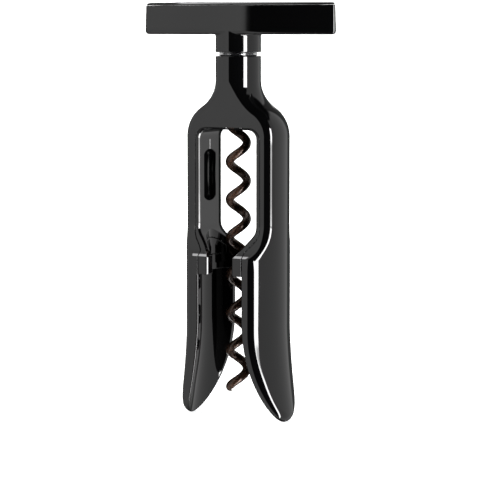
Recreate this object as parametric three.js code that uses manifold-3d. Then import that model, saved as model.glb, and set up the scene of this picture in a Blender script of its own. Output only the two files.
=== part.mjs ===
// Table corkscrew: a sprung two-legged frame that sits on a bottle's lip, and a T-handle that turns a
// long coated worm down through it. Once the handle meets the frame, more turns draw the cork up the worm.
// Millimetres. +Z is up, +X runs from leg to leg, -Y is the front. The origin is on the axis, level with
// the tips of the legs.
import * as THREE from 'three';
import { mergeVertices } from 'three/addons/utils/BufferGeometryUtils.js';
import Module from 'manifold-3d';

const wasm = await Module();
wasm.setup();

// ---- driving dimensions ----------------------------------------------------------------------------
const ROUND = 40; // facets on a full circle
const GAP = 0.3; // between neighbouring mouldings, and all round a turning fit
const FAR = 60; // longer than the frame is wide or deep

const TOP = 165.6; // overall height
const BODY_R = 20.65; // outside of the legs, a cylinder round the axis
const NECK_R = 9; // frame neck and handle stem; half the depth of the frame above the legs
const NECK_TOP = 144.5;
const SPLIT = 97.1; // the level at which a leg flexes: the middle of its relief pocket
const SPLIT_GAP = 0.5;

const SHOULDER = { convexR: 14, convexZ: 112.9, concaveR: 13 }; // the ogee between body and neck

const WINDOW = { half: 13.2, top: 116.4, corner: 4, low: 80 }; // where the cork rises
const VEE = { kneeX: 12.4, kneeZ: 74.3, footZ: 66.1 }; // the window's sides closing in towards the rests
const CORK_R = 12.6; // hole between the lip rests, wide enough for a 24 mm cork
const REST = { low: 58.8, top: 65, slotHalf: 5.9, seamX: 9.8 };

const LEG = { halfDepth: 15.4, tipHeight: 36, innerR: 16.3, gapHalf: 9.7, gapFrom: 42, gapBend: 84 };
const CREASE = 66.1; // the front face swells out from the slab in one arc, which ends in a crease here
const SWELL = THREE.MathUtils.degToRad(52); // how far that arc leans over at the crease
const FLARE = { from: 38, outer: 3.6, inner: 4.6, power: 1.6 }; // the tips spread and thin out
const POCKET = { half: 4.5, low: 87, top: 107.2, depth: 3 }; // flex relief inside each leg

const BAR = { half: 42.75, endR: 1.3, low: 152.9, wall: 2.4, floor: 2.4, cover: 1.2 };
const STEM_LOW = 146;
const BOSS_R = 8.2; // solid middle of the bar, round the hub
const SOCKET_TOP = 159.6;

const HUB = { r: 5.9, low: 124.5, flats: 10, top: 159.3 };
const BUSH = { bore: 6.2, outer: 7.1, flange: 7.6, low: 117.5 };
const RING = 0.5; // thickness of the bush's flange and of the thrust washer
const LAP = 0.15; // between flat faces that rub or bear on each other

const WIRE_R = 1.7;
const COIL_R = 3.4; // axis to the middle of the wire
const PITCH = 15.1;
const WORM = { tip: 10, coilTop: 117.5, shankLow: 124, shankTop: 141 };
const COIL_PHASE = { z: 110.3, angle: THREE.MathUtils.degToRad(29) };
const PIN = { r: 0.6, hole: 0.9, z: 134, half: 5.5 };
const SCREW = { r: 1.5, hole: 1.8, headR: 3.4, head: 1.9, length: 10, washerR: 4.2, washer: 0.7 };

// ---- materials -------------------------------------------------------------------------------------
const gloss = new THREE.MeshStandardMaterial({ color: 0x08080a, roughness: 0.08, metalness: 0 });
const acetal = new THREE.MeshStandardMaterial({ color: 0x101012, roughness: 0.3, metalness: 0 });
const coated = new THREE.MeshStandardMaterial({ color: 0x2a1a14, roughness: 0.3, metalness: 0.4 });
const steel = new THREE.MeshStandardMaterial({ color: 0xa8a8ac, roughness: 0.35, metalness: 1 });

// ---- solids ----------------------------------------------------------------------------------------
// A closed geometry as a solid: one vertex per place, no collapsed triangles, faces pointing out.
function solid(geometry) {
  const bare = geometry.clone();
  bare.deleteAttribute('normal');
  bare.deleteAttribute('uv');
  const merged = mergeVertices(bare, 1e-4);
  const place = merged.attributes.position.array;
  const corner = (i) => new THREE.Vector3().fromArray(place, 3 * i);
  const triangles = [];
  let volume = 0;
  for (let i = 0; i < merged.index.count; i += 3) {
    const [a, b, c] = merged.index.array.slice(i, i + 3);
    if (a === b || b === c || c === a) {
      continue;
    }
    triangles.push([a, b, c]);
    volume += corner(a).dot(corner(b).cross(corner(c)));
  }
  const outward = volume > 0 ? triangles : triangles.map(([a, b, c]) => [a, c, b]);
  const vertProperties = new Float32Array(place);
  const triVerts = new Uint32Array(outward.flat());
  return new wasm.Manifold(new wasm.Mesh({ numProp: 3, vertProperties, triVerts }));
}

const cut = (whole, ...tools) => tools.reduce((left, tool) => left.subtract(tool), whole);

// A profile of [radius, height] pairs, from the axis back to the axis, turned round Z.
function turned(profile, segments = ROUND, flare = () => 0) {
  const points = profile.map(([r, z]) => new THREE.Vector2(r, z));
  const geometry = new THREE.LatheGeometry(points, segments).rotateX(Math.PI / 2);
  const place = geometry.attributes.position;
  for (let i = 0; i < place.count; i += 1) {
    place.setX(i, place.getX(i) + flare(place.getZ(i)));
  }
  return solid(geometry);
}

function rod(r, low, high, segments = ROUND) {
  return turned([[0, low], [r, low], [r, high], [0, high]], segments);
}

const ring = (inner, outer, low, high) => rod(outer, low, high).subtract(rod(inner, low - 1, high + 1));

function box(x0, x1, y0, y1, z0, z1) {
  const geometry = new THREE.BoxGeometry(x1 - x0, y1 - y0, z1 - z0);
  return solid(geometry.translate((x0 + x1) / 2, (y0 + y1) / 2, (z0 + z1) / 2));
}

function extruded(shape, depth) {
  return new THREE.ExtrudeGeometry(shape, { depth, bevelEnabled: false, curveSegments: 8 });
}

// A plan outline (x, y) standing from z = low to high.
const upright = (shape, low, high) => solid(extruded(shape, high - low).translate(0, 0, low));

// A front outline (x, z) running right through from front to back.
const throughY = (shape) => solid(extruded(shape, FAR).rotateX(Math.PI / 2).translate(0, FAR / 2, 0));

// A side outline (y, z) running from x = from to x = to.
function throughX(shape, from, to) {
  const axes = new THREE.Matrix4().makeBasis(
    new THREE.Vector3(0, 1, 0),
    new THREE.Vector3(0, 0, 1),
    new THREE.Vector3(1, 0, 0),
  );
  return solid(extruded(shape, to - from).applyMatrix4(axes).translate(from, 0, 0));
}

// An outline that is the same on both sides: the right half's points, from the bottom up, then mirrored.
function mirrored(half) {
  const left = half.map((p) => new THREE.Vector2(-p.x, p.y)).reverse();
  return new THREE.Shape([...half, ...left]);
}

// ---- outlines of the frame -------------------------------------------------------------------------
// Radius of the frame's outside: leg cylinder, convex shoulder, concave shoulder, neck.
function bodyProfile() {
  const convexX = BODY_R - SHOULDER.convexR;
  const concaveX = NECK_R + SHOULDER.concaveR;
  const reach = SHOULDER.convexR + SHOULDER.concaveR;
  const rise = Math.sqrt(reach ** 2 - (concaveX - convexX) ** 2);
  const turn = Math.asin(rise / reach);
  const shoulder = new THREE.Path();
  shoulder.absarc(convexX, SHOULDER.convexZ, SHOULDER.convexR, 0, turn, false);
  shoulder.absarc(concaveX, SHOULDER.convexZ + rise, SHOULDER.concaveR, Math.PI + turn, Math.PI, true);
  const levels = Array.from({ length: 15 }, (_, i) => [BODY_R, -2 + 3 * i]);
  const curve = shoulder.getPoints(8).map((p) => [p.x, p.y]);
  const rim = [[NECK_R, NECK_TOP - 0.4], [NECK_R - 0.4, NECK_TOP], [0, NECK_TOP]];
  return [[0, -2], ...levels, ...curve, ...rim];
}

// Front-to-back outline: a round tip, deep legs, and a hollow arc in to the slab of the neck.
function sideOutline() {
  const half = new THREE.Path();
  const swellR = (LEG.halfDepth - NECK_R) / (1 - Math.cos(SWELL));
  half.absellipse(0, LEG.tipHeight, LEG.halfDepth, LEG.tipHeight, -Math.PI / 2, 0, false);
  half.absarc(NECK_R + swellR, CREASE + swellR * Math.sin(SWELL), swellR, Math.PI + SWELL, Math.PI, true);
  half.lineTo(NECK_R, TOP);
  return mirrored(half.getPoints(8));
}

// The gap between the legs from the front: window, vee, slot between the lip rests, and the widening gap
// for the bottle below them.
function gapOutline(lowHalf) {
  const half = new THREE.Path();
  const sweep = Math.asin((LEG.gapFrom + 3) / LEG.gapBend);
  half.absarc(lowHalf + LEG.gapBend, LEG.gapFrom, LEG.gapBend, Math.PI + sweep, Math.PI, true);
  half.lineTo(lowHalf, REST.low);
  half.lineTo(REST.slotHalf, REST.low);
  half.lineTo(REST.slotHalf, VEE.footZ);
  half.lineTo(VEE.kneeX - 0.8, VEE.kneeZ - 1);
  half.quadraticCurveTo(WINDOW.half, VEE.kneeZ + 1.5, WINDOW.half, WINDOW.low);
  const cornerZ = WINDOW.top - WINDOW.corner;
  half.lineTo(WINDOW.half, cornerZ);
  half.absarc(WINDOW.half - WINDOW.corner, cornerZ, WINDOW.corner, 0, Math.PI / 2, false);
  return mirrored(half.getPoints(6));
}

// ---- the frame -------------------------------------------------------------------------------------
const flareBy = (side, amount) => (z) => {
  const share = Math.max(0, (FLARE.from - z) / FLARE.from);
  return side * amount * share ** FLARE.power;
};

const gap = throughY(gapOutline(LEG.gapHalf));
const side = throughX(sideOutline(), -FAR / 2, FAR / 2);
const neckBore = rod(BUSH.outer + GAP, WINDOW.top - 4, NECK_TOP + 1);
const corkHole = rod(CORK_R, REST.low - 1, WINDOW.low);

function frameYoke() {
  const outer = turned(bodyProfile()).intersect(side);
  const below = box(-FAR, FAR, -FAR, FAR, -5, SPLIT + SPLIT_GAP / 2);
  return cut(outer, gap, neckBore, pocket(-1), pocket(1), below);
}

function leg(sign) {
  const outer = turned(bodyProfile(), ROUND, flareBy(sign, FLARE.outer)).intersect(side);
  const levels = Array.from({ length: 15 }, (_, i) => [LEG.innerR, -3 + 3 * i]);
  const bore = [[0, -3], ...levels, [LEG.innerR, REST.top + GAP], [0, REST.top + GAP]];
  const bottle = turned(bore, ROUND, flareBy(sign, FLARE.inner));
  const restSeat = box(-REST.seamX - GAP, REST.seamX + GAP, -FAR, FAR, REST.low - 1, REST.top + GAP);
  const otherSide = sign > 0 ? box(-FAR, 1, -FAR, FAR, -5, TOP) : box(-1, FAR, -FAR, FAR, -5, TOP);
  const above = box(-FAR, FAR, -FAR, FAR, SPLIT - SPLIT_GAP / 2, TOP);
  return cut(outer, gap, bottle, restSeat, corkHole, otherSide, above, pocket(sign));
}

// Blind recess with slightly arched ends in the inside wall of a leg.
function pocket(sign) {
  const outline = new THREE.Shape();
  const arch = 1.6;
  outline.moveTo(-POCKET.half, POCKET.low + arch);
  outline.quadraticCurveTo(0, POCKET.low - arch, POCKET.half, POCKET.low + arch);
  outline.lineTo(POCKET.half, POCKET.top - arch);
  outline.quadraticCurveTo(0, POCKET.top + arch, -POCKET.half, POCKET.top - arch);
  const near = WINDOW.half - 1;
  const deep = WINDOW.half + POCKET.depth;
  return sign > 0 ? throughX(outline, near, deep) : throughX(outline, -deep, -near);
}

// The insert that sits on the bottle's lip, flush with the front and back of its leg.
function lipRest(sign) {
  const round = rod(LEG.innerR - GAP, REST.low, REST.top);
  const flanks = box(-REST.seamX, REST.seamX, -LEG.halfDepth, LEG.halfDepth, REST.low, REST.top);
  const slot = box(-REST.slotHalf, REST.slotHalf, -FAR, FAR, 0, TOP);
  const otherSide = sign > 0 ? box(-FAR, 0, -FAR, FAR, 0, TOP) : box(0, FAR, -FAR, FAR, 0, TOP);
  return cut(round.add(flanks), corkHole, slot, otherSide);
}

// Flanged guide bush in the neck. Its flange is the lower ring in the groove under the handle.
function neckBush() {
  const low = NECK_TOP + LAP;
  const sleeve = ring(BUSH.bore, BUSH.outer, BUSH.low, low + RING);
  return sleeve.add(ring(BUSH.bore, BUSH.flange, low, low + RING));
}

// ---- the handle ------------------------------------------------------------------------------------
// Plan of the bar, drawn in by inset: two long arcs joined by round ends that they touch.
function barOutline(inset) {
  const endX = BAR.half - BAR.endR;
  const arcR = (endX ** 2 + NECK_R ** 2 - BAR.endR ** 2) / (2 * (NECK_R - BAR.endR));
  const centreY = arcR - NECK_R;
  const endR = Math.max(BAR.endR - inset, 0.6);
  const tipX = Math.sqrt((arcR - inset - endR) ** 2 - centreY ** 2);
  const lean = Math.atan2(tipX, centreY);
  const outline = new THREE.Shape();
  const up = Math.PI / 2;
  outline.absarc(0, -centreY, arcR - inset, up - lean, up + lean, false);
  outline.absarc(-tipX, 0, endR, up + lean, 3 * up - lean, false);
  outline.absarc(0, centreY, arcR - inset, 3 * up - lean, 3 * up + lean, false);
  outline.absarc(tipX, 0, endR, 3 * up + lean, 5 * up - lean, false);
  return outline;
}

const SEAM = TOP - BAR.cover; // underside of the cover
const WEB_TOP = SOCKET_TOP + 1.5; // the screw pulls the hub up against this web

function hexPrism(flats, low, high) {
  return rod(flats / Math.sqrt(3), low, high, 6);
}

function handleBody() {
  const outer = upright(barOutline(0), BAR.low, SEAM - LAP).add(rod(NECK_R, STEM_LOW, BAR.low + 1));
  const inside = upright(barOutline(BAR.wall), BAR.low + BAR.floor, TOP);
  const hollow = inside.subtract(rod(BOSS_R, 0, TOP + 1));
  const socket = hexPrism(HUB.flats + 2 * GAP, STEM_LOW - 1, SOCKET_TOP);
  const screwHole = rod(SCREW.hole + GAP, SOCKET_TOP - 1, TOP, 24);
  const counterbore = rod(SCREW.washerR + GAP, WEB_TOP, TOP, 24);
  return cut(outer, hollow, socket, screwHole, counterbore);
}

// Snap-in top cover. A shallow plug under it fills the mouth of each hollow.
function handleCover() {
  const plug = upright(barOutline(BAR.wall + GAP), SEAM - 1.6, SEAM + 0.4);
  return upright(barOutline(0), SEAM, TOP).add(plug.subtract(rod(BOSS_R + GAP, 0, TOP + 1)));
}

function thrustWasher() {
  const high = STEM_LOW - LAP;
  return ring(BUSH.bore, BUSH.flange, high - RING, high);
}

// ---- the worm and its hub --------------------------------------------------------------------------
// Middle line of the wire: straight in the hub, easing out to a right-handed coil.
class WormLine extends THREE.Curve {
  getPoint(t, target = new THREE.Vector3()) {
    const z = THREE.MathUtils.lerp(WORM.shankTop, WORM.tip, t);
    const out = THREE.MathUtils.smootherstep(WORM.shankLow - z, 0, WORM.shankLow - WORM.coilTop);
    const angle = COIL_PHASE.angle + (2 * Math.PI * (z - COIL_PHASE.z)) / PITCH;
    return target.set(COIL_R * out * Math.cos(angle), COIL_R * out * Math.sin(angle), z);
  }
}

const pinAlongX = (r, half, z) => {
  const geometry = new THREE.CylinderGeometry(r, r, 2 * half, 16);
  return solid(geometry.rotateZ(Math.PI / 2).translate(0, 0, z));
};

// The wire is ground to a point: one slanting cut down the last quarter turn.
function worm() {
  const section = new THREE.Shape().absarc(0, 0, WIRE_R, 0, 2 * Math.PI, false);
  const line = new WormLine();
  const wire = new THREE.ExtrudeGeometry(section, { steps: 124, curveSegments: 6, extrudePath: line });
  const end = line.getPoint(1);
  const back = line.getPoint(1).sub(line.getPoint(0.97)).normalize();
  const slant = new THREE.Quaternion().setFromUnitVectors(new THREE.Vector3(1, 0, 0), back);
  const grind = new THREE.BoxGeometry(20, 8, 8).translate(2, 0, 0);
  grind.rotateY(-0.42).translate(0, 0, -3.6).applyQuaternion(slant);
  return cut(solid(wire), solid(grind.translate(end.x, end.y, end.z)), pinAlongX(PIN.hole, 8, PIN.z));
}

// Turned metal hub: a round barrel that runs in the bush, and a hexagon held in the handle.
function wormHub() {
  const barrel = rod(HUB.r, HUB.low, STEM_LOW - GAP);
  const hexagon = hexPrism(HUB.flats, STEM_LOW - 1, HUB.top);
  const shankHole = rod(WIRE_R + GAP, HUB.low - 1, WORM.shankTop + GAP, 24);
  const thread = rod(SCREW.hole, HUB.top - SCREW.length, HUB.top + 1, 24);
  return cut(barrel.add(hexagon), shankHole, thread, pinAlongX(PIN.hole, 8, PIN.z));
}

const shankPin = () => pinAlongX(PIN.r, PIN.half, PIN.z);

function hubScrew() {
  const seat = WEB_TOP + SCREW.washer + 2 * LAP;
  const slot = box(-0.5, 0.5, -5, 5, seat + SCREW.head - 0.8, TOP);
  const thread = rod(SCREW.r, seat - SCREW.length, seat + 0.5, 24);
  return cut(thread.add(rod(SCREW.headR, seat, seat + SCREW.head, 24)), slot);
}

function screwWasher() {
  const low = WEB_TOP + LAP;
  const hole = rod(SCREW.hole, 0, TOP, 24);
  return rod(SCREW.washerR, low, low + SCREW.washer, 24).subtract(hole);
}

// ---- the assembly ----------------------------------------------------------------------------------
function node(name, shape, material) {
  const { vertProperties, triVerts } = shape.getMesh();
  const geometry = new THREE.BufferGeometry();
  geometry.setAttribute('position', new THREE.BufferAttribute(vertProperties, 3));
  geometry.setIndex(new THREE.BufferAttribute(triVerts, 1));
  geometry.computeVertexNormals();
  const mesh = new THREE.Mesh(geometry, material);
  mesh.name = name;
  return mesh;
}

const corkscrew = new THREE.Group();
corkscrew.add(
  node('frame_yoke', frameYoke(), gloss),
  node('left_leg', leg(-1), gloss),
  node('right_leg', leg(1), gloss),
  node('left_lip_rest', lipRest(-1), acetal),
  node('right_lip_rest', lipRest(1), acetal),
  node('neck_bush', neckBush(), acetal),
  node('thrust_washer', thrustWasher(), acetal),
  node('handle_body', handleBody(), gloss),
  node('handle_cover', handleCover(), gloss),
  node('worm', worm(), coated),
  node('worm_hub', wormHub(), steel),
  node('shank_pin', shankPin(), steel),
  node('hub_screw', hubScrew(), steel),
  node('screw_washer', screwWasher(), steel),
);

export default corkscrew;
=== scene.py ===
"""Looks of the table corkscrew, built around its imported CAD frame.

The mouldings are distance fields: each field function takes points in millimetres and returns how far
outside the solid they lie, with the outward normal there. Fields meet, join and cut with rounded edges,
and skin() turns one into a mesh whose shading normals are the field's own.
"""

import math

import bpy
import bmesh
import numpy as np
from mathutils import Matrix, Vector


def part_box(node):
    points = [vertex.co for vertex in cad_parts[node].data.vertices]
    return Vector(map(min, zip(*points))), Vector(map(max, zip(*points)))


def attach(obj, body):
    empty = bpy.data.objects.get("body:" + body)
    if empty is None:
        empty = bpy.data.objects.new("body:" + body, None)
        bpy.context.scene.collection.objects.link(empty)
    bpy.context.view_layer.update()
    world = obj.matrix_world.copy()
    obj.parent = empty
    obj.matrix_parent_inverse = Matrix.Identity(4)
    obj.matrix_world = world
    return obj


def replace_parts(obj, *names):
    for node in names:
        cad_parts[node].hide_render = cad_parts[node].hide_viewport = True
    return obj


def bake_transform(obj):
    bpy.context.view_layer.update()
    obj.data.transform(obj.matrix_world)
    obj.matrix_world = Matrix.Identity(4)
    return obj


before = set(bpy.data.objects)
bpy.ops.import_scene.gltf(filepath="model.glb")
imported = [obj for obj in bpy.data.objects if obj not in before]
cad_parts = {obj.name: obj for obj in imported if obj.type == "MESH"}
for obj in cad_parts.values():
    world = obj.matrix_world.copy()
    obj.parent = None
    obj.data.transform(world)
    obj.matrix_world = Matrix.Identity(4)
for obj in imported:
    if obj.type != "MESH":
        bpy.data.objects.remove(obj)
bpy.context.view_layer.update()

MM = 0.001


def reach(node, axis, end=1):
    """How far a CAD node goes along an axis, in millimetres: end 1 is its far side, 0 its near one."""
    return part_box(node)[end][axis] / MM


# ---- driving dimensions, in millimetres ------------------------------------------------------------
TOP = reach("handle_cover", 2)
NECK_TOP = reach("frame_yoke", 2)
NECK_R = reach("frame_yoke", 1)
BODY_R = reach("frame_yoke", 0)
DEPTH = reach("left_leg", 1)  # half the front-to-back depth of the legs
REST_LOW = reach("left_lip_rest", 2, 0)
BAR_HALF = reach("handle_cover", 0)
STEM_LOW = reach("handle_body", 2, 0)
WORM_TIP = reach("worm", 2, 0)

SHOULDER = {"convex_r": 14, "low": 112.9, "hollow_r": 13}
SWELL = {"r": 16.4, "top": 79.0}  # hollow arc from the slab of the neck out to the deep part of the legs
TIP_H = 36  # height of the half ellipse that rounds the tips off from front to back
FLARE = {"outer": 3.6, "inner": 4.6, "from": 38, "power": 1.6}  # the tips spread and thin out
EDGE = {"tip": 3.1, "legs": 1.37, "slab": -0.14, "crease": -1.3}  # radius at the tips, and changes to it
CREASE = {"z": 68, "reach": 7}  # the edge is tightened round the crease where the swell ends

WINDOW = {"half": 13.2, "top": 116.4, "corner": 4, "knee": 6}
VEE = {"across": 0.784, "down": -0.621, "offset": -36.42}  # the plane from the window's side to the slot
SLOT_HALF = 5.9  # between the lip rests
RIM = 0.65  # the 45 degree chamfer round the window, its vee and the slot between the rests
BEHIND_RIM = {"step": 0.25, "depth": 1.4, "low": 67}  # the window opens out again behind its rim
BELOW = {"half": 9.7, "from": 42, "bend": 84}  # the gap under the rests, widening to the tips
BOTTLE_R = 16.3
CORK = {"r": 12.6, "low": 50, "top": 84}  # its hole between the rests, run out into clear space
BORE = {"r": 7.4, "low": 110}  # through the neck, for the bush
POCKET = {"half": 4.5, "low": 86.9, "top": 107.4, "floor": 16.2, "arch": 6.6}
RIB = {"crest": 12.68, "lean": 43, "low": 107.4, "top": 111.5}
LINER = {"half": 14.4, "corner": 5, "knee": 7, "step": 1.8, "rest_half": 9.8, "rest_top": 65}
SEAM = 0.09  # half the fine gap between the liner and the shell
JOINT_Z = 110  # where the leg shells meet the shell of the yoke, above everything that flexes

BAR = {"low": 152.9, "end_r": 1.3, "draft": 0.4, "seam": 164.4}
COVER_GAP = 0.04  # half the fine gap between the bar and its cover
SOCKET = {"r": 6.3, "top": 150}  # hole up the stem for the hub
RING = {"bore": 6.2, "outer": 7.6, "thick": 0.5}  # the bush's flange and the thrust washer
BUSH = {"r": 7.1, "low": 117.5}
LAP = 0.15  # between flat faces that rub or bear on each other

WIRE_R = 1.7
COIL = {"r": 3.4, "pitch": 15.1, "top": 117.5, "phase": 29, "phase_z": 110.3}
SHANK = {"low": 124, "top": 141}
POINT = {"height": 3.4, "power": 0.62, "outward": 0.7}  # the worm's tip


# ---- distance fields -------------------------------------------------------------------------------
def flat(p, normal, offset):
    """The half-space behind a plane."""
    n = np.asarray(normal, np.float32) / np.linalg.norm(normal)
    return p @ n - np.float32(offset), np.broadcast_to(n, p.shape)


def below(p, z):
    return flat(p, (0, 0, 1), z)


def above(p, z):
    return flat(p, (0, 0, -1), -z)


def inside_out(a):
    return -a[0], -a[1]


def grown(a, by):
    return a[0] - by, a[1]


def steep(a):
    """A field whose normals aren't unit long, scaled so that it measures distance."""
    length = np.maximum(np.linalg.norm(a[1], axis=1), 1e-6)
    return a[0] / length, a[1] / length[:, None]


def meet(a, b, r=0.0):
    """What two solids share, with their common edge rounded to radius r."""
    (da, na), (db, nb) = a, b
    c = np.clip(np.einsum("ij,ij->i", na, nb), -0.999, 0.9998)
    ka = (da + r - c * (db + r)) / (1 - c * c)
    kb = (db + r - c * (da + r)) / (1 - c * c)
    edge = (ka > 0) & (kb > 0) & (c > -0.98)
    n = np.where((da > db)[:, None], na, nb)
    d = np.maximum(da, db)
    across = ka[edge, None] * na[edge] + kb[edge, None] * nb[edge]
    length = np.maximum(np.linalg.norm(across, axis=1), 1e-6)
    d[edge] = length - np.broadcast_to(r, d.shape)[edge]
    n[edge] = across / length[:, None]
    return d, n


def join(a, b, r=0.0):
    return inside_out(meet(inside_out(a), inside_out(b), r))


def cut(a, b, r=0.0):
    return meet(a, inside_out(b), r)


def chamfer(a, b, width, r):
    """What two solids share, with the edge cut off to that width on each and the cut's edges eased."""
    (da, na), (db, nb) = a, b
    c = np.clip(np.einsum("ij,ij->i", na, nb), -0.999, 0.999)
    slope = steep((da + db + width * np.sqrt(1 - c * c), na + nb))
    return meet(meet(a, slope, r), meet(b, slope, r))


def turned(p, profile, centre=0.0):
    """A field of revolution round Z from a field of (radius, height)."""
    x = p[:, 0] - centre
    radius = np.maximum(np.hypot(x, p[:, 1]), 1e-4)
    d, n = profile(np.stack([radius, p[:, 2]], 1))
    return d, np.stack([n[:, 0] * x / radius, n[:, 0] * p[:, 1] / radius, n[:, 1]], 1)


def disc(p, centre, r):
    """A round outline of two coordinates."""
    q = p - np.asarray(centre, np.float32)
    length = np.maximum(np.linalg.norm(q, axis=1), 1e-4)
    return length - r, q / length[:, None]


def raised(a, axes):
    """A field of two coordinates run along the third."""
    n = np.zeros((len(a[0]), 3), np.float32)
    n[:, axes] = a[1]
    return a[0], n


def rod(p, r):
    """An endless cylinder round the Z axis."""
    return raised(disc(p[:, :2], (0, 0), r), [0, 1])


def choose(pick, a, b):
    """Field a where the pick is true, and b elsewhere."""
    return np.where(pick, a[0], b[0]), np.where(pick[:, None], a[1], b[1])


def mirrored(field, axes):
    """A field given for the positive side of some axes, repeated on the other."""

    def both(p):
        sign = np.ones_like(p)
        sign[:, axes] = np.where(p[:, axes] < 0, -1, 1)
        d, n = field(p * sign)
        return d, n * sign

    return both


def ease(t):
    """0 to 1 along a smooth step."""
    t = np.clip(t, 0, 1)
    return t * t * (3 - 2 * t)


# ---- the frame's mouldings -------------------------------------------------------------------------
def shoulder(p):
    """Radius and height outline: leg cylinder, convex shoulder, hollow shoulder and neck."""
    convex, hollow = SHOULDER["convex_r"], SHOULDER["hollow_r"]
    low, high = np.array([BODY_R - convex, SHOULDER["low"]]), np.array([NECK_R + hollow, 0])
    high[1] = low[1] + math.sqrt((convex + hollow) ** 2 - (high[0] - low[0]) ** 2)
    tangent = low[0] + (high[0] - low[0]) * convex / (convex + hollow)
    legs = flat(p, (1, 0), BODY_R)
    neck = flat(p, (1, 0), NECK_R)
    arcs = choose(p[:, 0] > tangent, disc(p, low, convex), inside_out(disc(p, high, hollow)))
    return choose(p[:, 1] < low[1], legs, choose(p[:, 1] > high[1], neck, arcs))


def spread(z, amount):
    """Sideways flare of the legs' tips, and its slope."""
    share = np.clip(1 - z / FLARE["from"], 0, 1)
    power = FLARE["power"]
    return amount * share**power, -amount * power / FLARE["from"] * share ** (power - 1)


def flared(p, profile, amount):
    """A field of revolution whose lower end leans outwards with the legs' tips."""
    shift, slope = spread(p[:, 2], amount)
    d, n = turned(p, profile, shift)
    return steep((d, n + np.stack([0 * shift, 0 * shift, -slope * n[:, 0]], 1)))


def side_outline(p):
    """Depth and height outline: round tip, deep legs, crease, hollow swell and the slab of the neck."""
    z = p[:, 1]
    tip_r = np.array([DEPTH, TIP_H])
    q = (p - (0, TIP_H)) / tip_r
    length = np.maximum(np.linalg.norm(q, axis=1), 1e-4)[:, None]
    tip = steep((length[:, 0] - 1, q / length / tip_r))
    legs = flat(p, (1, 0), DEPTH)
    hollow = inside_out(disc(p, (NECK_R + SWELL["r"], SWELL["top"]), SWELL["r"]))
    upper = choose(z > SWELL["top"], flat(p, (1, 0), NECK_R), meet(legs, hollow, r=0.12))
    below_crease = 50
    return choose(z > below_crease, upper, choose(z < TIP_H, tip, legs))


def vee(p, step):
    """Front outline (x, z) of the slope in from the window's side to the slot, moved in by a step."""
    return flat(p, (VEE["across"], VEE["down"]), VEE["offset"] - step)


def column(p, half):
    """Front outline (x, z) of a slot that ends inside the window."""
    in_window = 75
    return meet(flat(p, (1, 0), half), flat(p, (0, 1), in_window))


def window(p, step):
    """Front outline (x, z) of the window, its vee and the slot below, smaller all round by a step."""
    side, top = flat(p, (1, 0), WINDOW["half"] - step), flat(p, (0, 1), WINDOW["top"] - step)
    sides = meet(side, top, r=WINDOW["corner"] - 0.6 * step)
    sides = meet(sides, vee(p, step), r=WINDOW["knee"] - step)
    return join(sides, column(p, SLOT_HALF - step), r=0.25)


def below_rests(p):
    """Front outline (x, z) of the gap for the bottle, widening towards the tips."""
    bend = BELOW["bend"]
    curve = inside_out(disc(p, (BELOW["half"] + bend, BELOW["from"]), bend))
    straight = flat(p, (1, 0), BELOW["half"])
    return meet(choose(p[:, 1] < BELOW["from"], curve, straight), flat(p, (0, 1), REST_LOW), r=0.3)


def front(outline, p, *args):
    """A front outline run through from front to back."""
    return raised(outline(p[:, [0, 2]], *args), [0, 2])


def between(z, low, high):
    """0 up to one height and 1 from another."""
    return ease((z - low) / (high - low))


def edge_radius(z):
    """Rounding between the outside and the front and back faces, tightest at the crease."""
    legs, slab = between(z, 6, 20), between(z, 61, 73)
    crease = ease(1 - np.abs(z - CREASE["z"]) / CREASE["reach"])
    return EDGE["tip"] + EDGE["legs"] * legs + EDGE["slab"] * slab + EDGE["crease"] * crease


def pocket(p):
    """Flex relief inside a leg, with arched ends."""
    across, arch = p[:, 1:], POCKET["arch"]
    low, high = POCKET["low"] + arch, POCKET["top"] - arch
    arches = choose(across[:, 1] > low, flat(across, (1, 0), arch), disc(across, (0, low), arch))
    arches = choose(across[:, 1] > high, disc(across, (0, high), arch), arches)
    outline = meet(flat(across, (1, 0), POCKET["half"]), arches, r=1.0)
    return meet(raised(outline, [1, 2]), flat(p, (1, 0, 0), POCKET["floor"]), r=0.6)


def frame_solid(p):
    """The frame as one moulding, for x and y that aren't negative."""
    outside = flared(p, shoulder, FLARE["outer"])
    side = raised(side_outline(p[:, 1:]), [1, 2])
    hull = meet(outside, side, r=edge_radius(p[:, 2]))
    hull = meet(hull, below(p, NECK_TOP), r=0.25)
    shell = chamfer(hull, inside_out(front(window, p, RIM)), RIM, r=0.3)
    shell = cut(shell, front(below_rests, p), r=0.6)
    behind_rim = meet(front(window, p, BEHIND_RIM["step"]), grown(side, -BEHIND_RIM["depth"]))
    shell = cut(shell, meet(behind_rim, above(p, BEHIND_RIM["low"])), r=0.2)
    bottle = flared(p, lambda q: flat(q, (1, 0), BOTTLE_R), FLARE["inner"])
    shell = cut(shell, meet(bottle, below(p, REST_LOW)), r=0.35)
    cork = meet(rod(p, CORK["r"]), meet(below(p, CORK["top"]), above(p, CORK["low"])))
    shell = cut(shell, cork, r=0.35)
    shell = cut(shell, pocket(p), r=0.3)
    return cut(shell, meet(rod(p, BORE["r"]), above(p, BORE["low"])), r=0.4)


def rib(p):
    """Fine rib up the inside wall, from the pocket to the corner of the window."""
    lean = math.radians(RIB["lean"])
    face = flat(p, (-math.cos(lean), math.sin(lean), 0), -RIB["crest"] * math.cos(lean))
    return meet(meet(face, below(p, RIB["top"])), above(p, RIB["low"]))


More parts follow.
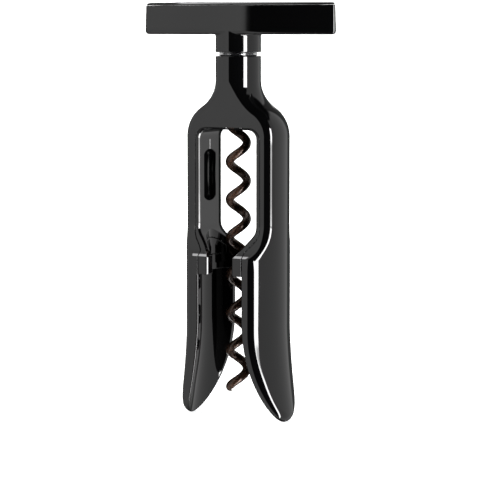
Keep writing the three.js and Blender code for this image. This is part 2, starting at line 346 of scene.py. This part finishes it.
def liner_zone(p):
    """The space of the inner liner, with the rests for the bottle's lip at its lower end."""
    q = p[:, [0, 2]]
    side, top = flat(q, (1, 0), LINER["half"]), flat(q, (0, 1), WINDOW["top"] + 0.1)
    sides = meet(side, top, r=LINER["corner"])
    sides = meet(sides, vee(q, -LINER["step"]), r=LINER["knee"])
    zone = raised(join(sides, column(q, LINER["rest_half"]), r=0.3), [0, 2])
    core = meet(rod(p, BOTTLE_R - 0.3), below(p, LINER["rest_top"]))
    return meet(join(zone, core), above(p, REST_LOW))


def shell_field(p):
    """The outer moulding: the frame without its liners."""
    return cut(frame_solid(p), grown(liner_zone(p), SEAM), r=0.05)


def liner_field(p):
    """The liners, which hold the rests."""
    return meet(join(frame_solid(p), rib(p), r=0.1), grown(liner_zone(p), -SEAM), r=0.05)


# ---- the handle's mouldings ------------------------------------------------------------------------
def bar_plan(p):
    """Plan of the bar: two long arcs joined by round ends that they touch."""
    end_r = BAR["end_r"]
    end_x = BAR_HALF - end_r
    arc_r = (end_x**2 + NECK_R**2 - end_r**2) / (2 * (NECK_R - end_r))
    centre = arc_r - NECK_R
    on_arc = p[:, 0] * centre < end_x * (p[:, 1] + centre)
    return choose(on_arc, disc(p, (0, -centre), arc_r), disc(p, (end_x, 0), end_r))


def bar(p):
    """The bar and its cover as one, drawn in a little towards the top as a moulding is."""
    height = TOP - BAR["low"]
    d, n = raised(bar_plan(p[:, :2]), [0, 1])
    slope = BAR["draft"] / height
    d = d + slope * (p[:, 2] - BAR["low"])
    sides = steep((d, n + np.array([0, 0, slope])))
    return meet(meet(sides, below(p, TOP), r=1.8), above(p, BAR["low"]), r=1.45)


def handle_body_field(p):
    stem = meet(rod(p, NECK_R), above(p, STEM_LOW), r=0.2)
    moulding = join(bar(p), meet(stem, below(p, BAR["low"] + 1.4)), r=0.5)
    socket = meet(rod(p, SOCKET["r"]), below(p, SOCKET["top"]))
    return meet(cut(moulding, socket, r=0.3), below(p, BAR["seam"] - COVER_GAP), r=0.1)


def handle_cover_field(p):
    return meet(bar(p), above(p, BAR["seam"] + COVER_GAP), r=0.1)


# ---- meshing a field -------------------------------------------------------------------------------
BLOCK = 4  # grid cells along a side of a block that is looked at as one


def in_parts(field, points, size=400000):
    """A field's distances and normals at many points, a batch at a time."""
    parts = [field(points[i : i + size]) for i in range(0, len(points), size)]
    return np.concatenate([d for d, n in parts]), np.concatenate([n for d, n in parts])


def sampled(field, low, high, step):
    """The field's values on a grid, worked out finely only near its surface."""
    low = np.asarray(low, np.float32)
    blocks = np.ceil((np.asarray(high) - low) / (step * BLOCK)).astype(int)
    index = np.indices(blocks).reshape(3, -1).T
    rough = in_parts(field, (low + (index + 0.5) * step * BLOCK).astype(np.float32))[0]
    values = np.repeat(np.repeat(np.repeat(rough.reshape(blocks), BLOCK, 0), BLOCK, 1), BLOCK, 2)
    values = np.pad(values, ((0, 1),) * 3, mode="edge")
    near = index[np.abs(rough) < 1.05 * step * BLOCK]
    corner = np.indices((BLOCK + 1,) * 3).reshape(3, -1).T
    wanted = (near[:, None] * BLOCK + corner).reshape(-1, 3)
    wanted = np.unique(np.ravel_multi_index(wanted.T, values.shape))
    places = np.stack(np.unravel_index(wanted, values.shape), 1)
    values.flat[wanted] = in_parts(field, (low + places * step).astype(np.float32))[0]
    return values


def nets(values):
    """Points in grid units and quads of the surface where the values change sign."""
    solid = values < 0
    cells = np.zeros(np.array(values.shape) - 1, np.int8)
    for corner in np.ndindex(2, 2, 2):
        cells += solid[tuple(slice(c, n - 1 + c) for c, n in zip(corner, values.shape))]
    mixed = (cells > 0) & (cells < 8)
    number = np.full(cells.shape, -1)
    number[mixed] = np.arange(mixed.sum())
    at = np.argwhere(mixed)
    total, count = np.zeros((len(at), 3)), np.zeros(len(at))
    for axis in range(3):
        for side in np.ndindex(2, 2):
            start = np.insert(np.array(side), axis, 0)
            end = np.insert(np.array(side), axis, 1)
            a = values[tuple((at + start).T)]
            b = values[tuple((at + end).T)]
            crossing = (a < 0) != (b < 0)
            share = np.where(crossing, a / np.where(crossing, a - b, 1), 0)
            place = start + (end - start) * share[:, None]
            total += place * crossing[:, None]
            count += crossing
    quads = []
    for axis in range(3):
        u, v = (axis + 1) % 3, (axis + 2) % 3
        here = [slice(1, n - 1) for n in values.shape]
        there = list(here)
        here[axis], there[axis] = slice(0, -1), slice(1, None)
        first, second = solid[tuple(here)], solid[tuple(there)]
        for leaving in (True, False):
            edges = np.argwhere(first & ~second if leaving else second & ~first)
            edges[:, [u, v]] += 1
            around = []
            for du, dv in ((0, 0), (1, 0), (1, 1), (0, 1)):
                cell = edges.copy()
                cell[:, u] -= du
                cell[:, v] -= dv
                around.append(number[tuple(cell.T)])
            around = around if leaving else around[::-1]
            quads.append(np.stack(around, 1))
    return at + total / count[:, None], np.concatenate(quads)


def on_surface(field, points, most):
    """Points moved onto the field's surface, and its normals there."""
    for _ in range(4):
        d, n = in_parts(field, points)
        points = points - np.clip(d, -most, most)[:, None] * n
    return points.astype(np.float32), in_parts(field, points.astype(np.float32))[1]


def mesh_of(name, points, faces):
    mesh = bpy.data.meshes.new(name)
    mesh.from_pydata(points.tolist(), [], faces)
    return mesh


def placed(name, data):
    """A new object in the scene, at the origin."""
    obj = bpy.data.objects.new(name, data)
    bpy.context.scene.collection.objects.link(obj)
    return obj


def thinned(points, faces, share):
    """The mesh with its flat stretches in fewer, larger triangles."""
    thick = placed("thick", mesh_of("thick", points, faces.tolist()))
    thick.modifiers.new("thin", "DECIMATE").ratio = share
    thin = bpy.data.meshes.new_from_object(thick.evaluated_get(bpy.context.evaluated_depsgraph_get()))
    bpy.data.objects.remove(thick)
    return thin


def skin(field, low, high, step, share=0.15):
    """A field's surface as a mesh in millimetres."""
    points, quads = nets(sampled(field, low, high, step))
    points = (np.asarray(low) + points * step).astype(np.float32)
    points = on_surface(field, points, step)[0]
    mesh = thinned(points, quads, share)
    moved = on_surface(field, coordinates(mesh), step)[0]
    mesh.vertices.foreach_set("co", moved.ravel())
    return mesh


def coordinates(mesh):
    co = np.empty(len(mesh.vertices) * 3, np.float32)
    mesh.vertices.foreach_get("co", co)
    return co.reshape(-1, 3)


def sliced(mesh, place, normal):
    """The part of a mesh behind a plane, as a bmesh that is open at the plane."""
    half = bmesh.new()
    half.from_mesh(mesh)
    everything = half.verts[:] + half.edges[:] + half.faces[:]
    bmesh.ops.bisect_plane(
        half, geom=everything, dist=1e-4, plane_co=place, plane_no=normal, clear_outer=True
    )
    return half


def closed(half):
    """A sliced bmesh with a face over its open side."""
    rim = [e for e in half.edges if e.is_boundary]
    bmesh.ops.holes_fill(half, edges=rim, sides=0)
    return half


def reflected(source):
    """A copy of a bmesh mirrored left to right."""
    copy = source.copy()
    bmesh.ops.scale(copy, vec=(-1, 1, 1), verts=copy.verts)
    bmesh.ops.reverse_faces(copy, faces=copy.faces)
    return copy


def piece(name, shape, field, material):
    """A finished object in metres from a bmesh in millimetres, shaded by its field's normals."""
    mesh = bpy.data.meshes.new(name)
    shape.normal_update()
    shape.to_mesh(mesh)
    shape.free()
    normals = in_parts(field, coordinates(mesh))[1]
    mesh.transform(Matrix.Scale(MM, 4))
    mesh.shade_smooth()
    mesh.normals_split_custom_set_from_vertices(normals.tolist())
    mesh.materials.append(material)
    return placed(name, mesh)


# ---- materials -------------------------------------------------------------------------------------
class Shader:
    """A Principled material and short ways to add the nodes that vary it over the surface."""

    def __init__(self, name, color, roughness, **sockets):
        self.material = bpy.data.materials.new(name)
        self.material.use_nodes = True
        self.tree = self.material.node_tree
        self.surface = self.tree.nodes["Principled BSDF"]
        self.surface.inputs["Base Color"].default_value = (*color, 1)
        self.surface.inputs["Roughness"].default_value = roughness
        for socket, value in sockets.items():
            self.surface.inputs[socket.replace("_", " ")].default_value = value
        self.place = self.add("ShaderNodeTexCoord").outputs["Object"]

    def add(self, kind, **settings):
        node = self.tree.nodes.new(kind)
        for name, value in settings.items():
            setattr(node, name, value)
        return node

    def link(self, source, target):
        self.tree.links.new(source, target)

    def stretched(self, scale):
        mapping = self.add("ShaderNodeMapping")
        mapping.inputs["Scale"].default_value = scale
        self.link(self.place, mapping.inputs["Vector"])
        return mapping.outputs["Vector"]

    def noise(self, grain, detail=3.0, stretch=(1, 1, 1)):
        """Noise whose grain is that many millimetres across."""
        texture = self.add("ShaderNodeTexNoise")
        texture.inputs["Scale"].default_value = 1 / (grain * MM)
        texture.inputs["Detail"].default_value = detail
        self.link(self.stretched(stretch), texture.inputs["Vector"])
        return texture.outputs["Fac"]

    def spread(self, source, low, high, to_low, to_high):
        """A value from one range mapped smoothly to another, and held beyond its ends."""
        node = self.add("ShaderNodeMapRange", interpolation_type="SMOOTHSTEP")
        for socket, value in zip(node.inputs[1:5], (low, high, to_low, to_high)):
            socket.default_value = value
        self.link(source, node.inputs[0])
        return node.outputs[0]

    def pair(self, operation, a, b):
        node = self.add("ShaderNodeMath", operation=operation)
        self.link(a, node.inputs[0])
        self.link(b, node.inputs[1])
        return node.outputs[0]

    def sum(self, a, b):
        return self.pair("ADD", a, b)

    def product(self, a, b):
        return self.pair("MULTIPLY", a, b)

    def colors(self, source, stops):
        """Base colour from (at, colour) stops along a value."""
        node = self.add("ShaderNodeValToRGB")
        ramp = node.color_ramp
        for element, (at, color) in zip((ramp.elements[0], ramp.elements[1]), (stops[0], stops[-1])):
            element.position, element.color = at, (*color, 1)
        for at, color in stops[1:-1]:
            ramp.elements.new(at).color = (*color, 1)
        self.link(source, node.inputs[0])
        self.link(node.outputs[0], self.surface.inputs["Base Color"])

    def bump(self, height, depth):
        """Relief that many millimetres deep."""
        node = self.add("ShaderNodeBump")
        node.inputs["Distance"].default_value = depth * MM
        node.inputs["Strength"].default_value = 1.0
        self.link(height, node.inputs["Height"])
        self.link(node.outputs[0], self.surface.inputs["Normal"])


def gloss_plastic():
    """High-gloss black moulding: a faint moulded ripple, and hairline wear that dulls it in streaks."""
    shader = Shader("gloss_black_plastic", (0.001, 0.001, 0.0011), 0.06, Specular_IOR_Level=0.5)
    haze = shader.spread(shader.noise(9, 4), 0.4, 0.75, 0.035, 0.075)
    hairs = shader.spread(shader.noise(1.1, 5, (1, 1, 0.06)), 0.64, 0.8, 0.0, 0.06)
    shader.link(shader.sum(haze, hairs), shader.surface.inputs["Roughness"])
    shader.bump(shader.noise(2.6, 1.0), 0.0012)
    return shader.material


def satin_plastic():
    """Acetal bearing plastic: satin, with a fine machined grain."""
    shader = Shader("satin_black_acetal", (0.004, 0.004, 0.0045), 0.18)
    grain = shader.noise(0.25, 3, (1, 1, 4))
    shader.link(shader.spread(grain, 0.3, 0.8, 0.12, 0.24), shader.surface.inputs["Roughness"])
    shader.bump(grain, 0.004)
    return shader.material


def worm_coating():
    """Dark brown non-stick coating, with a fine speckle of lighter brown where it is thin."""
    shader = Shader("worm_nonstick_coating", (0.03, 0.018, 0.013), 0.3, Metallic=0.45)
    speckle = shader.noise(0.55, 4)
    browns = [(0.3, (0.008, 0.0045, 0.003)), (0.5, (0.036, 0.018, 0.011)), (0.68, (0.1, 0.052, 0.033))]
    shader.colors(speckle, browns)
    sheen = shader.spread(shader.noise(0.3, 3), 0.35, 0.75, 0.18, 0.36)
    shader.link(sheen, shader.surface.inputs["Roughness"])
    shader.bump(speckle, 0.03)
    return shader.material


def turned_steel():
    """Zinc-plated steel with the fine rings that turning leaves."""
    shader = Shader("turned_steel", (0.55, 0.55, 0.56), 0.3, Metallic=1.0)
    rings = shader.noise(0.12, 2, (0.05, 0.05, 1))
    shader.link(shader.spread(rings, 0.3, 0.7, 0.24, 0.38), shader.surface.inputs["Roughness"])
    shader.bump(rings, 0.008)
    return shader.material


def backdrop_paint():
    """Plain pale paint with light of its own, so that it stays even."""
    shader = Shader("pale_backdrop", (0.86, 0.86, 0.86), 0.9, Specular_IOR_Level=0.0)
    shader.surface.inputs["Emission Color"].default_value = (1, 1, 1, 1)
    shader.surface.inputs["Emission Strength"].default_value = 0.75
    return shader.material


GLOSS, SATIN, COATING, STEEL = gloss_plastic(), satin_plastic(), worm_coating(), turned_steel()


# ---- pieces ----------------------------------------------------------------------------------------
def whole(half):
    """A half and its mirror image as one mesh, joined where they meet at x = 0."""
    other = reflected(half)
    spare = bpy.data.meshes.new("other_half")
    other.to_mesh(spare)
    other.free()
    both = half.copy()
    both.from_mesh(spare)
    bpy.data.meshes.remove(spare)
    bmesh.ops.remove_doubles(both, verts=both.verts, dist=1e-3)
    return both


def frame_shells():
    """The springy frame: a yoke, and legs that bend with it where their walls are thin."""
    field = mirrored(shell_field, [0, 1])
    start, end = (-1, -DEPTH - 1, -1), (BODY_R + 4, DEPTH + 1, NECK_TOP + 1)
    half = bpy.data.meshes.new("half")
    right = sliced(skin(field, start, end, 0.25), (0, 0, 0), (-1, 0, 0))
    right.to_mesh(half)
    yoke = closed(whole(sliced(half, (0, 0, JOINT_Z), (0, 0, -1))))
    shell = piece("frame_yoke_shell", yoke, field, GLOSS)
    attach(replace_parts(shell, "frame_yoke"), "frame")
    leg = closed(sliced(half, (0, 0, JOINT_Z), (0, 0, 1)))
    for side, shape in (("right", leg.copy()), ("left", reflected(leg))):
        shell = piece(f"{side}_leg_shell", shape, field, GLOSS)
        flexing(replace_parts(shell, f"{side}_leg"))


def flexing(obj):
    """Bakes the object's placement into its mesh, without hanging it on any moving body."""
    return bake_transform(obj)


def liners():
    """Inner mouldings that line the window and end in the rests for the bottle's lip."""
    field = mirrored(liner_field, [0, 1])
    start, end = (-1, -DEPTH - 1, REST_LOW - 1), (BOTTLE_R + 1, DEPTH + 1, WINDOW["top"] + 2.6)
    mesh = skin(field, start, end, 0.25)
    half = closed(sliced(mesh, (0, 0, 0), (-1, 0, 0)))
    for side, shape in (("right", half.copy()), ("left", reflected(half))):
        liner = piece(f"{side}_liner", shape, field, GLOSS)
        flexing(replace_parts(liner, f"{side}_lip_rest"))


def handle():
    """The bar with its stem, and the cover on top of it."""
    ends = (BAR_HALF + 1, NECK_R + 1)
    body = mirrored(handle_body_field, [0, 1])
    cover = mirrored(handle_cover_field, [0, 1])
    for name, node, field, low, high in (
        ("handle_bar", "handle_body", body, STEM_LOW - 1, BAR["seam"] + 1),
        ("handle_top", "handle_cover", cover, BAR["seam"] - 1, TOP + 1),
    ):
        mesh = skin(field, (-ends[0], -ends[1], low), (*ends, high), 0.3)
        shape = bmesh.new()
        shape.from_mesh(mesh)
        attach(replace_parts(piece(name, shape, field, GLOSS), node), "handle")


def coil_direction(z):
    """Unit vector from the axis towards the middle of the wire at a height."""
    angle = math.radians(COIL["phase"]) + 2 * math.pi * (z - COIL["phase_z"]) / COIL["pitch"]
    return np.stack([np.cos(angle), np.sin(angle), 0 * z], -1)


def worm_line(z):
    """Middle of the wire at a height: straight in the hub, easing out to a right-handed coil."""
    out = np.clip((SHANK["low"] - z) / (SHANK["low"] - COIL["top"]), 0, 1)
    out = out**3 * (out * (6 * out - 15) + 10)
    return (COIL["r"] * out)[:, None] * coil_direction(z) + z[:, None] * np.array([0, 0, 1])


def worm():
    """The coiled wire, tapering to a point that keeps to the outside of the coil."""
    sides, taper = 28, POINT["height"]
    fine = np.linspace(WORM_TIP, WORM_TIP + taper, 90)[:-1]
    z = np.concatenate([fine, np.linspace(WORM_TIP + taper, SHANK["top"], 900)])
    middle = worm_line(z)
    tangent = worm_line(z + 0.01) - worm_line(z - 0.01)
    tangent /= np.linalg.norm(tangent, axis=1)[:, None]
    outward = coil_direction(z)
    outward -= (outward * tangent).sum(1)[:, None] * tangent
    outward /= np.linalg.norm(outward, axis=1)[:, None]
    across = np.cross(tangent, outward)
    share = np.clip((z - WORM_TIP) / taper, 0, 1)
    thick = WIRE_R * np.maximum(share, 0.02) ** POINT["power"]
    middle = middle + (WIRE_R - thick)[:, None] * outward * POINT["outward"]
    turn = np.linspace(0, 2 * math.pi, sides, endpoint=False)
    ring = np.cos(turn)[:, None] * outward[:, None] + np.sin(turn)[:, None] * across[:, None]
    points = (middle[:, None] + thick[:, None, None] * ring).reshape(-1, 3) * MM
    row = np.arange(len(z) - 1)[:, None] * sides
    i, j = np.arange(sides), (np.arange(sides) + 1) % sides
    quads = np.stack([row + i, row + j, row + j + sides, row + i + sides], -1).reshape(-1, 4)
    ends = [i[::-1].tolist(), ((len(z) - 1) * sides + i).tolist()]
    mesh = mesh_of("worm_wire", points, quads.tolist() + ends)
    mesh.shade_smooth()
    mesh.materials.append(COATING)
    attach(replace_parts(placed("worm_wire", mesh), "worm"), "handle")


def rounded(outline, r, steps=5):
    """A closed (radius, height) outline with its corners eased, each by a curve r long either side."""
    points = []
    for before, here, after in zip(outline[-1:] + outline[:-1], outline, outline[1:] + outline[:1]):
        here = Vector(here)
        a, b = (Vector(before) - here).normalized() * r, (Vector(after) - here).normalized() * r
        for k in range(steps + 1):
            t = k / steps
            points.append(here + a * (1 - t) ** 2 + b * t**2)
    return points


def lathe(name, outline, r, material, node, body):
    """A turned ring: a closed outline of radius and height, its corners eased, taken round the axis."""
    count = 128
    profile = np.array([tuple(p) for p in rounded(outline, r)])
    turn = np.linspace(0, 2 * math.pi, count, endpoint=False)
    radius, height = profile[:, 0], profile[:, 1]
    points = np.stack(
        [radius * np.cos(turn)[:, None], radius * np.sin(turn)[:, None], height + 0 * turn[:, None]], -1
    )
    n = len(profile)
    faces = []
    for k in range(count):
        for m in range(n):
            here, there = k * n, ((k + 1) % count) * n
            faces.append((here + m, there + m, there + (m + 1) % n, here + (m + 1) % n))
    mesh = mesh_of(name, points.reshape(-1, 3) * MM, faces)
    mesh.shade_smooth()
    mesh.materials.append(material)
    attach(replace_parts(placed(name, mesh), node), body)


def bearings():
    """The two rings in the groove under the handle: the bush's flange, and the loose thrust washer."""
    bore, outer = RING["bore"], RING["outer"]
    low = NECK_TOP + LAP
    high = low + RING["thick"]
    sleeve = [(bore, BUSH["low"]), (BUSH["r"], BUSH["low"]), (BUSH["r"], low)]
    bush = sleeve + [(outer, low), (outer, high), (bore, high)]
    lathe("neck_bush_ring", bush, 0.12, SATIN, "neck_bush", "frame")
    top = STEM_LOW - LAP
    under = top - RING["thick"]
    washer = [(bore, under), (outer, under), (outer, top), (bore, top)]
    lathe("thrust_washer_ring", washer, 0.12, SATIN, "thrust_washer", "washer")


def finish_cad():
    """The fixings that stay as the CAD made them get their metal."""
    for node in ("worm_hub", "shank_pin", "hub_screw", "screw_washer"):
        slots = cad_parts[node].data.materials
        slots.clear()
        slots.append(STEEL)


# ---- studio ----------------------------------------------------------------------------------------
CAMERA_AZIMUTH = math.radians(29)
CAMERA = {"away": 0.76, "height": 0.1558, "aim_right": 0.00067, "aim_height": 0.0715}  # in metres


def camera():
    """A long lens level with the bar, looking a little down at the middle of the frame."""
    data = bpy.data.cameras.new("camera")
    data.lens, data.sensor_width = 144, 36
    obj = placed("camera", data)
    right = Vector((math.cos(CAMERA_AZIMUTH), math.sin(CAMERA_AZIMUTH), 0))
    forward = Vector((-math.sin(CAMERA_AZIMUTH), math.cos(CAMERA_AZIMUTH), 0))
    obj.location = -CAMERA["away"] * forward + Vector((0, 0, CAMERA["height"]))
    aim = CAMERA["aim_right"] * right + Vector((0, 0, CAMERA["aim_height"]))
    obj.rotation_euler = (aim - obj.location).to_track_quat("-Z", "Y").to_euler()
    bpy.context.scene.camera = obj


def backdrop():
    """Pale floor that sweeps up to a wall all round, seen by the camera only."""
    floor, bend, wall, segments = 1.6, 1.0, 3.0, 96
    arc = [(floor + bend * math.sin(t), bend - bend * math.cos(t)) for t in np.linspace(0, math.pi / 2, 16)]
    profile = [(0.0, 0.0)] + arc + [(floor + bend, wall)]
    rows = bmesh.new()
    line = [rows.verts.new((x, 0, z)) for x, z in profile]
    edges = [rows.edges.new(pair) for pair in zip(line[:-1], line[1:])]
    up, turn = (0, 0, 1), 2 * math.pi
    bmesh.ops.spin(
        rows, geom=line + edges, cent=(0, 0, 0), axis=up, angle=turn, steps=segments, use_merge=True
    )
    bmesh.ops.remove_doubles(rows, verts=rows.verts, dist=1e-5)
    mesh = bpy.data.meshes.new("backdrop")
    rows.to_mesh(mesh)
    rows.free()
    mesh.shade_smooth()
    mesh.materials.append(backdrop_paint())
    obj = placed("backdrop", mesh)
    obj.visible_glossy = obj.visible_diffuse = obj.visible_shadow = False


class Sky(Shader):
    """The studio round the object, as light that comes from each direction."""

    def __init__(self):
        world = bpy.data.worlds.new("studio")
        world.use_nodes = True
        bpy.context.scene.world = world
        self.tree = world.node_tree
        self.surface = self.tree.nodes["Background"]
        self.surface.inputs["Color"].default_value = (1, 1, 1, 1)
        direction = self.add("ShaderNodeSeparateXYZ")
        self.link(self.add("ShaderNodeTexCoord").outputs["Generated"], direction.inputs[0])
        x, y, z = direction.outputs
        around = self.pair("ARCTAN2", x, self.number("MULTIPLY", y, -1))
        turned = self.number("SUBTRACT", around, CAMERA_AZIMUTH)
        wrapped = self.add("ShaderNodeMath", operation="WRAP")
        self.link(turned, wrapped.inputs[0])
        wrapped.inputs[1].default_value = math.pi
        wrapped.inputs[2].default_value = -math.pi
        degree = math.radians(1)
        self.azimuth = self.number("DIVIDE", wrapped.outputs[0], degree)
        self.elevation = self.number("DIVIDE", self.number("ARCSINE", z), degree)

    def number(self, operation, source, value=0.0):
        node = self.add("ShaderNodeMath", operation=operation)
        self.link(source, node.inputs[0])
        node.inputs[1].default_value = value
        return node.outputs[0]

    def falls(self, source, *points):
        """A value that follows straight lines between (at, value) points."""
        low, high = points[0][0], points[-1][0]
        node = self.add("ShaderNodeFloatCurve")
        top = max(value for at, value in points)
        curve = node.mapping.curves[0]
        places = [((at - low) / (high - low), value / top) for at, value in points]
        for point, place in zip(curve.points, (places[0], places[-1])):
            point.location = place
        for place in places[1:-1]:
            curve.points.new(*place)
        for point in curve.points:
            point.handle_type = "VECTOR"
        node.mapping.update()
        share = self.number("DIVIDE", self.number("SUBTRACT", source, low), high - low)
        self.link(share, node.inputs["Value"])
        return self.number("MULTIPLY", node.outputs[0], top)


def walls(sky):
    """White walls to the left and right, and a dim room behind."""
    left = sky.falls(
        sky.azimuth, (-180, 0.1), (-150, 0.2), (-120, 0.55), (-90, 0.95), (-51, 1.2), (-49, 0), (180, 0)
    )
    left = sky.product(left, sky.spread(sky.elevation, 75, 78, 1, 0))
    left = sky.product(left, sky.spread(sky.elevation, -10, 1, 0.88, 1.04))
    right = sky.falls(sky.azimuth, (-180, 0), (43, 0), (44, 0.8), (136, 0.8), (142, 0.12), (180, 0.1))
    right = sky.product(right, sky.spread(sky.elevation, 40, 46, 1, 0))
    return sky.sum(left, right)


def strip(sky):
    """A tall bright strip to the right of the camera, with a dimmer part a little below eye level."""
    inside = sky.product(
        sky.spread(sky.azimuth, 26.4, 27.6, 0, 1), sky.spread(sky.azimuth, 43.6, 44.8, 1, 0)
    )
    dim_part = (-5.2, 10.5), (-3.4, 10.5)
    level = sky.falls(
        sky.elevation, (-90, 27), (-5.7, 27), *dim_part, (-2.8, 30), (20, 30), (22, 0), (90, 0)
    )
    return sky.product(inside, level)


def softboxes(sky):
    """A large soft light overhead and behind, and a low dim one right behind."""
    away = sky.number("ABSOLUTE", sky.azimuth)
    behind = sky.falls(sky.azimuth, (-180, 1), (-116, 1), (-113, 0), (160, 0), (164, 1), (180, 1))
    high = sky.product(behind, sky.spread(sky.elevation, 46, 48, 0, 7))
    low = sky.product(sky.spread(away, 162, 168, 0, 1), sky.spread(sky.elevation, -1, 2, 0, 0.9))
    return sky.sum(high, low)


def studio():
    """All the light there is. Azimuth 0 is towards the camera, and it grows to the picture's right."""
    sky = Sky()
    total = sky.sum(sky.sum(walls(sky), strip(sky)), softboxes(sky))
    sky.link(total, sky.surface.inputs["Strength"])
    bpy.context.scene.view_settings.view_transform = "Standard"


frame_shells()
liners()
handle()
worm()
bearings()
finish_cad()
backdrop()
studio()
camera()
